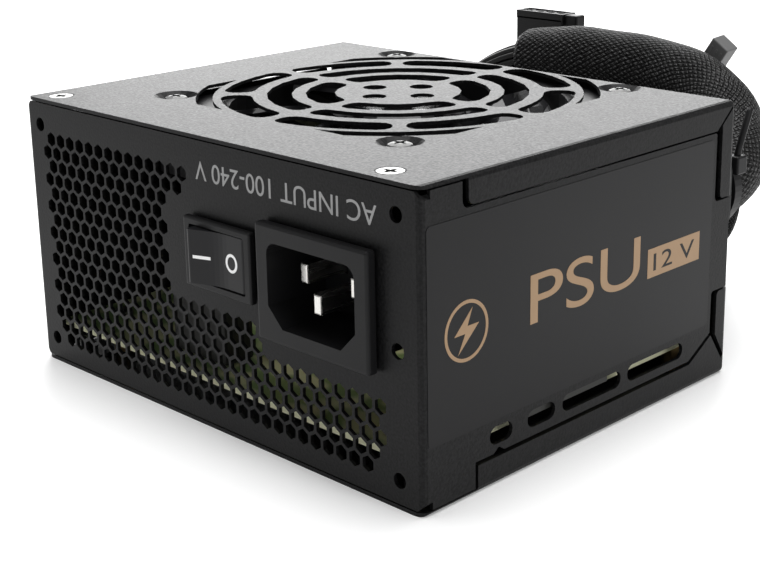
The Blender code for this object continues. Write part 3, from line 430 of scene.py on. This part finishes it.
def studio():
    """A white room with three soft lamps and a pale floor."""
    world = bpy.data.worlds.new("studio")
    world.use_nodes = True
    world.node_tree.nodes["Background"].inputs["Color"].default_value = (1.0, 1.0, 1.0, 1.0)
    world.node_tree.nodes["Background"].inputs["Strength"].default_value = 0.4
    bpy.context.scene.world = world
    bpy.context.scene.view_settings.view_transform = "Standard"
    softbox("top_softbox", place=(-60, 100, 900), aim=(0, 0, 30), size=700, watts=10.0)
    softbox("back_softbox", place=(-700, 760, 420), aim=(0, 0, 60), size=800, watts=9.0)
    softbox("side_softbox", place=(800, -100, 500), aim=(0, 0, 30), size=400, watts=2.0)
    bm = bmesh.new()
    bmesh.ops.create_grid(bm, x_segments=1, y_segments=1, size=4000)
    floor = bpy.data.objects.new("floor", mesh_from("floor", bm))
    bpy.context.scene.collection.objects.link(floor)
    finish = Finish("pale_floor", (0.92, 0.92, 0.92), 0.6)
    finish.shader.inputs["Emission Strength"].default_value = 0.12
    floor.data.materials.append(finish.material)


# ---------------------------------------------------------------- cables

def cable_mesh(name, line, radius_at, sides):
    bm = bmesh.new()
    add_tube(bm, line, radius_at, sides)
    return mesh_from(name, bm)


def main_radius(along):
    """The sleeve's slightly uneven radius and its rounded end, then the core that the wires lie round."""
    if along > SLEEVE_END:
        return CORE_R
    full = MAIN_R - 0.3 + 0.18 * math.sin(along / 7.0) + 0.12 * math.sin(along / 2.9)
    hem = CORE_R + 0.8
    into_shoulder = max(0.0, (along - SLEEVE_END + SLEEVE_SHOULDER) / SLEEVE_SHOULDER)
    return hem + (full - hem) * math.sqrt(1 - into_shoulder**2)


def bundle_places():
    """Where the wires lie in the bundle, as (across, up) from its middle."""
    return [circle(0.0, 0.0, radius, count)[i] for count, radius in WIRE_RINGS for i in range(count)]


def column_y(column):
    """Where a column of the wide plug's ways is."""
    return PLUG_Y + (column - (PLUG_COLUMNS - 1) / 2) * PLUG_PITCH


def plug_wires(bundle):
    """The wires from the sleeve's end along the bundle and down to their holes in the wide plug."""
    frames = frames_along(bundle)[::4]
    point, side, up = frames[-1]
    places = sorted(bundle_places(), key=lambda place: (place[0] * side + place[1] * up).y)
    bm = bmesh.new()
    for i, (across, high) in enumerate(places):
        x, y = PLUG_X + (i % 2 - 0.5) * PLUG_PITCH, column_y(i // 2)
        route = [point + across * side + high * up for point, side, up in frames]
        middle = (route[-1] + Vector((x, y, route[-1].z))) / 2
        route += [(middle.x, middle.y, PLUG_TOP + 5.8), (x, y, PLUG_TOP + 3.0), (x, y, PLUG_TOP)]
        add_tube(bm, smooth_line(route, 1.6), lambda along: WIRE_R, 8)
    return add("plug_wires", mesh_from("plug_wires", bm), WIRE)


def main_plug():
    """The 24-way housing: a body with a groove between each pair of ways, a top rim and a latch."""
    x, y = PLUG_X, PLUG_Y
    bm = bmesh.new()
    add_box(bm, (x - 4.4, y - 25.2, 0.05), (x + 4.4, y + 25.2, PLUG_TOP), 0.3)
    for column in range(PLUG_COLUMNS):
        for row in (-1, 1):
            way_x, way_y = x + row * 2.35, column_y(column)
            add_box(bm, (way_x - 2.0, way_y - 1.9, 0.0), (way_x + 2.0, way_y + 1.9, 12.5), 0.35)
    add_box(bm, (x - 5.0, y - 25.8, 12.5), (x + 5.0, y + 25.8, PLUG_TOP + 0.5), 0.4)
    add_box(bm, (x + 4.6, y - 3.0, 4.0), (x + 7.4, y + 3.0, 7.0), 0.5)
    add_box(bm, (x + 5.6, y - 2.6, 6.0), (x + 7.4, y + 2.6, 15.6), 0.5)
    return add("main_plug_housing", mesh_from("main_plug_housing", bm), BLACK_NYLON)


def sleeve_tie():
    """The strap round the main cable by the case, with its head and its loose end."""
    x, _, z = MAIN_ROUTE[0]
    bm = bmesh.new()
    outer, inner = (circle(x, -z, radius, 48) for radius in (TIE_OUTSIDE, TIE_INSIDE))
    ring = add_ring(bm, outer, inner, TIE_START, TIE_END)
    bmesh.ops.rotate(bm, matrix=Matrix.Rotation(math.radians(-90), 3, "X"), verts=ring)
    add_box(bm, (58.6, 52.9, 45.6), (61.9, 56.7, 49.8), 0.4)
    loose_end = ((60.2, 54.8, 49.0), (60.6, 55.2, 52.0), (61.0, 56.4, 56.0), (60.8, 58.6, 60.0))
    add_tube(bm, smooth_line(loose_end, 1.0), lambda along: 0.8, 8)
    return add("sleeve_tie", mesh_from("sleeve_tie", bm), BLACK_NYLON)


def main_cable():
    """The thick cable, with its wires, its plug and its tie."""
    line = smooth_line(MAIN_ROUTE, MAIN_STEP)
    cable = add("main_cable_sleeve", cable_mesh("main_cable_sleeve", line, main_radius, 48), SLEEVE)
    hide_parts("main_cable", "main_cable_tail")
    wires = plug_wires(line[round(SLEEVE_END / MAIN_STEP) - 2:])
    plug = main_plug()
    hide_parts("main_plug")
    tie = sleeve_tie()
    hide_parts("bundle_tie")


def hank_bend(angle):
    """A point of the hank's round ends: how far it is from their axis along x, and its height."""
    turn = math.radians(angle)
    return HANK_R * math.cos(turn), HANK_MIDDLE_Z + HANK_R * math.sin(turn)


def hank_route():
    """The wound stretch of the drive cable, one point every few millimetres. It winds from -Y to +Y."""
    rng = random.Random(4)
    bottom, top = HANK_MIDDLE_Z - HANK_R, HANK_MIDDLE_Z + HANK_R
    straight = range(3, 43, 8)  # from the end of the straight where the cable comes in
    route = []
    for turn in range(HANK_TURNS + 1):
        y = HANK_FIRST_Y + HANK_PITCH * turn
        route += [(HANK_RIGHT - along, y, bottom) for along in straight]
        if turn == HANK_TURNS:
            break
        for angle in HANK_LEFT_BEND:
            across, high = hank_bend(angle)
            route.append((HANK_LEFT + across, y, high))
        route += [(HANK_LEFT + along, y, top) for along in straight]
        for angle in HANK_RIGHT_BEND:
            across, high = hank_bend(angle)
            turned = HANK_RIGHT_BEND.index(angle) / len(HANK_RIGHT_BEND)
            route.append((HANK_RIGHT + across, y + HANK_PITCH * turned, high))
    return [(x, y + rng.uniform(-0.12, 0.12), z + rng.uniform(-0.1, 0.25)) for x, y, z in route]


def drive_plug():
    """The four-way plug, mating face up: a body with two lugs, a nose with four ways, and an ear."""
    (x0, y0, bottom), (x1, y1, top) = DRIVE_PLUG_LOW, DRIVE_PLUG_HIGH
    x, y = (x0 + x1) / 2, (y0 + y1) / 2
    bm = bmesh.new()
    add_box(bm, (x0, y0, bottom), (x1, y1, 57.0), 0.5)
    add_box(bm, (x0 + 0.4, y0 + 0.4, 56.0), (x1 - 0.4, y1 - 0.4, 65.7), 0.3)
    outer, inner = (rectangle(x0 + w, y0 + w, x1 - w, y1 - w) for w in (0.4, 1.2))
    add_ring(bm, outer, inner, 65.0, top)
    for i in range(4):
        middle = (x + (i - 1.5) * DRIVE_PLUG_PITCH, y)
        add_ring(bm, circle(*middle, 1.8, 24), circle(*middle, 1.1, 24), 65.5, 66.9)
    for lug_x in (x0 + 1.5, x1 - 1.5):
        add_box(bm, (lug_x - 1.4, y0 + 0.05, 47.0), (lug_x + 1.4, y1 - 0.05, 54.0), 0.3)
    add_box(bm, (-31.4, 107.2, 61.6), (-26.6, 111.2, 67.0), 0.5)
    return add("drive_plug_housing", mesh_from("drive_plug_housing", bm), BLACK_NYLON)


def small_plug():
    """The little grey plug at the cable's end, in line with the cable's last stretch."""
    last, before = Vector(DRIVE_END[-1]), Vector(DRIVE_END[-2])
    along = (last - before).normalized()
    bm = bmesh.new()
    add_box(bm, (-2.8, -2.5, 0.0), (2.8, 2.5, 7.4), 0.35)
    for x in (-1.6, 0.0, 1.6):
        add_box(bm, (x - 0.3, -2.6, 1.0), (x + 0.3, 2.6, 5.6), 0.08)
    turn = Vector((0, 0, 1)).rotation_difference(along).to_matrix().to_4x4()
    bmesh.ops.transform(bm, matrix=Matrix.Translation(last + along * 0.4) @ turn, verts=bm.verts)
    return add("small_plug_housing", mesh_from("small_plug_housing", bm), GREY_NYLON)


def drive_cable():
    """The thin cable, with its two plugs. The strap is the CAD's."""
    line = smooth_line([*DRIVE_LEAD, *hank_route(), *DRIVE_LAST_LOOP, *DRIVE_END], DRIVE_STEP)
    mesh = cable_mesh("drive_cable_sleeve", line, lambda along: DRIVE_R - 0.05, 14)
    cable = add("drive_cable_sleeve", mesh, FINE_SLEEVE)
    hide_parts("drive_cable", "drive_hank", "drive_cable_loop", "drive_cable_end")
    plug = drive_plug()
    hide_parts("drive_plug")
    end = small_plug()
    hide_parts("small_plug")


# ---------------------------------------------------------------- markings

def lettering(name, words, low, high, face, finish, thickness=0.05):
    """Flat letters that fill the box from low to high on a face given by its matrix."""
    curve = bpy.data.curves.new(name, "FONT")
    curve.body = words
    curve.extrude = 0.5
    text = bpy.data.objects.new(name, curve)
    bpy.context.scene.collection.objects.link(text)
    bpy.context.view_layer.update()
    mesh = bpy.data.meshes.new_from_object(text.evaluated_get(bpy.context.evaluated_depsgraph_get()))
    bpy.data.objects.remove(text, do_unlink=True)
    points = [v.co for v in mesh.vertices]
    least = [min(p[i] for p in points) for i in range(2)]
    size = [max(p[i] for p in points) - least[i] for i in range(2)]
    scale = [(high[i] - low[i]) / size[i] for i in range(2)]
    fit = Matrix.Translation((low[0] - least[0] * scale[0], low[1] - least[1] * scale[1], thickness / 2))
    fit = fit @ Matrix.Diagonal((*scale, thickness, 1.0))
    mesh.transform(Matrix.Scale(MM, 4) @ face @ fit)
    return add(name, mesh, finish)


def face_matrix(right, up, out, origin):
    """Takes a drawing's right, up and towards-the-reader to a face of the object."""
    matrix = Matrix((right, up, out)).transposed().to_4x4()
    return Matrix.Translation(origin) @ matrix


def add_on_face(name, bm, face, finish, body="case"):
    """Adds a piece that was drawn flat to a face given by its matrix."""
    bmesh.ops.transform(bm, matrix=face, verts=bm.verts)
    return add(name, mesh_from(name, bm), finish, body)


def film_outline():
    """The label's outline, a rectangle with rounded corners."""
    u0, v0 = (edge + FILM_CORNER for edge in FILM_LOW)
    u1, v1 = (edge - FILM_CORNER for edge in FILM_HIGH)
    outline = []
    for (u, v), start in zip(rectangle(u0, v0, u1, v1), (180, 270, 0, 90)):
        for step in range(5):
            angle = math.radians(start + 22.5 * step)
            outline.append((u + FILM_CORNER * math.cos(angle), v + FILM_CORNER * math.sin(angle)))
    return outline


def side_label():
    """The film, with generic words and a lightning bolt in bronze."""
    face = face_matrix((0, 1, 0), (0, 0, 1), (1, 0, 0), (62.505, 0, 0))
    bm = bmesh.new()
    add_plate(bm, film_outline(), 0.0, FILM_THICKNESS)
    film = add_on_face("label_film", bm, face, LABEL_FILM)
    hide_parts("side_label")
    top = face @ Matrix.Translation((0, 0, FILM_THICKNESS - 0.005))
    lettering("label_word", "PSU", (-20.0, 30.0), (15.5, 40.2), top, BRONZE)
    bm = bmesh.new()
    add_box(bm, (18.3, 30.0, 0.0), (37.4, 36.4, INK), 0.0)
    add_on_face("label_box", bm, top, BRONZE)
    box_face = top @ Matrix.Translation((0, 0, INK / 2))
    lettering("label_box_word", "12 V", (20.4, 31.3), (35.3, 35.1), box_face, LABEL_FILM)
    bm = bmesh.new()
    add_plate(bm, [(EMBLEM_MIDDLE[0] + u, EMBLEM_MIDDLE[1] + v) for u, v in BOLT[::-1]], 0.0, INK)
    outer, inner = (circle(*EMBLEM_MIDDLE, radius, 48) for radius in (EMBLEM_R, EMBLEM_R - EMBLEM_LINE))
    add_ring(bm, outer, inner, 0.0, INK)
    add_on_face("label_emblem", bm, top, BRONZE)


def panel_words():
    """Generic words printed upside down above the inlet."""
    face = face_matrix((-1, 0, 0), (0, 0, -1), (0, -1, 0), (0, -50.0, 0))
    lettering("panel_words", "AC INPUT 100-240 V", (-51.6, -58.2), (0.7, -54.2), face, GREY_PRINT, INK)


def switch_marks():
    """A dash on the rocker's raised wing and a ring on its flat wing."""
    flat = face_matrix((1, 0, 0), (0, 0, 1), (0, -1, 0), OFF_MARK)
    bm = bmesh.new()
    add_ring(bm, circle(0, 0, 2.0, 32, 0.9), circle(0, 0, 1.4, 32, 0.86), 0.0, INK)
    add_on_face("switch_off_mark", bm, flat, WHITE_PRINT, "switch_rocker")
    tilt = math.radians(ROCKER_TILT)
    right, out = (math.cos(tilt), math.sin(tilt), 0), (math.sin(tilt), -math.cos(tilt), 0)
    raised = face_matrix(right, (0, 0, 1), out, ON_MARK)
    bm = bmesh.new()
    add_box(bm, (-2.1, -0.33, 0.0), (2.1, 0.33, 0.05))
    add_on_face("switch_on_mark", bm, raised, WHITE_PRINT, "switch_rocker")


# ---------------------------------------------------------------- the CAD pieces

def numbered(kind, count=4):
    """The names of a kind of node that comes several times."""
    return [f"{kind}_{i}" for i in range(1, count + 1)]


def finish_nodes():
    """Gives each CAD piece that stays visible its finish."""
    finishes = {
        POWDER_COAT: ("chassis", "cover"),
        BLACK_NYLON: ("inlet_housing", "switch_housing", "fan_frame", "cable_grommet"),
        ROCKER_GLOSS: ("switch_rocker",),
        FAN_GLOSS: ("fan_rotor",),
        PLATED_PIN: (
            "inlet_neutral_pin", "inlet_line_pin", "inlet_earth_pin", *numbered("switch_terminal", 2)
        ),
        ZINC: ("fan_shaft", *numbered("cover_screw"), *numbered("board_screw")),
        DULL_ZINC: numbered("fan_screw"),
        BRASS: ("fan_bearing", *numbered("board_standoff")),
        COPPER: ("fan_stator", "output_choke", "filter_choke"),
        BLACK_ALUMINIUM: ("primary_heatsink", "secondary_heatsink"),
        BOARD: ("main_board",),
        DARK_SHEET: ("insulator_sheet", "x_capacitor"),
        YELLOW_TAPE: ("transformer_winding", "standby_transformer"),
        FERRITE: ("transformer_core",),
        CAPACITOR_SLEEVE: ("bulk_capacitor", *numbered("output_capacitor", 3)),
        STRAP: ("hank_strap",),
    }
    for finish, names in finishes.items():
        for name in names:
            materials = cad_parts[name].data.materials
            materials.clear()
            materials.append(finish)


POWDER_COAT = powder_coat()
BLACK_NYLON = moulded("black_nylon", (0.007, 0.007, 0.0075), 0.42)
ROCKER_GLOSS = moulded("rocker_gloss", (0.011, 0.011, 0.012), 0.28, 0.01)
FAN_GLOSS = moulded("fan_gloss", (0.012, 0.012, 0.013), 0.2, 0.01, coat=0.4)
GREY_NYLON = moulded("grey_nylon", (0.11, 0.11, 0.11), 0.45)
WIRE = moulded("wire_insulation", (0.01, 0.01, 0.01), 0.4, 0.01)
CAPACITOR_SLEEVE = moulded("capacitor_sleeve", (0.02, 0.02, 0.03), 0.3, 0.01)
DARK_SHEET = moulded("dark_sheet", (0.03, 0.03, 0.028), 0.4)
YELLOW_TAPE = moulded("yellow_tape", (0.72, 0.52, 0.08), 0.35, 0.01)
FERRITE = moulded("ferrite", (0.05, 0.05, 0.055), 0.55, 0.05)
PLATED_PIN = metal("plated_pin", (0.62, 0.61, 0.58), 0.26, (1, 0.05, 1))
ZINC = metal("zinc_plate", (0.27, 0.27, 0.265), 0.36)
DULL_ZINC = metal("dull_zinc_plate", (0.15, 0.15, 0.148), 0.45)
BRASS = metal("brass", (0.72, 0.52, 0.24), 0.3)
BLACK_ALUMINIUM = metal("black_aluminium", (0.06, 0.06, 0.062), 0.4, (1, 1, 0.1))
COPPER = copper_turns()
BOARD = circuit_board()
LABEL_FILM = label_film()
BRONZE = moulded("bronze_ink", (0.31, 0.205, 0.12), 0.4, 0.01)
GREY_PRINT = moulded("grey_ink", (0.3, 0.3, 0.3), 0.6, 0.01)
WHITE_PRINT = moulded("white_ink", (0.85, 0.85, 0.85), 0.5, 0.01)
# Each sleeve's dark colour is painted shade in the gaps, and its light colour is a painted highlight on
# the thread crowns.
SLEEVE = braid("braided_sleeve", 20, 4.8, (0.0004, 0.0004, 0.0004), (0.125, 0.125, 0.125))
FINE_SLEEVE = braid("fine_braided_sleeve", 9, 2.0, (0.0005, 0.0005, 0.0005), (0.09, 0.09, 0.09))
STRAP = fabric_strap()

camera()
main_cable()
drive_cable()
side_label()
panel_words()
switch_marks()
finish_nodes()
studio()
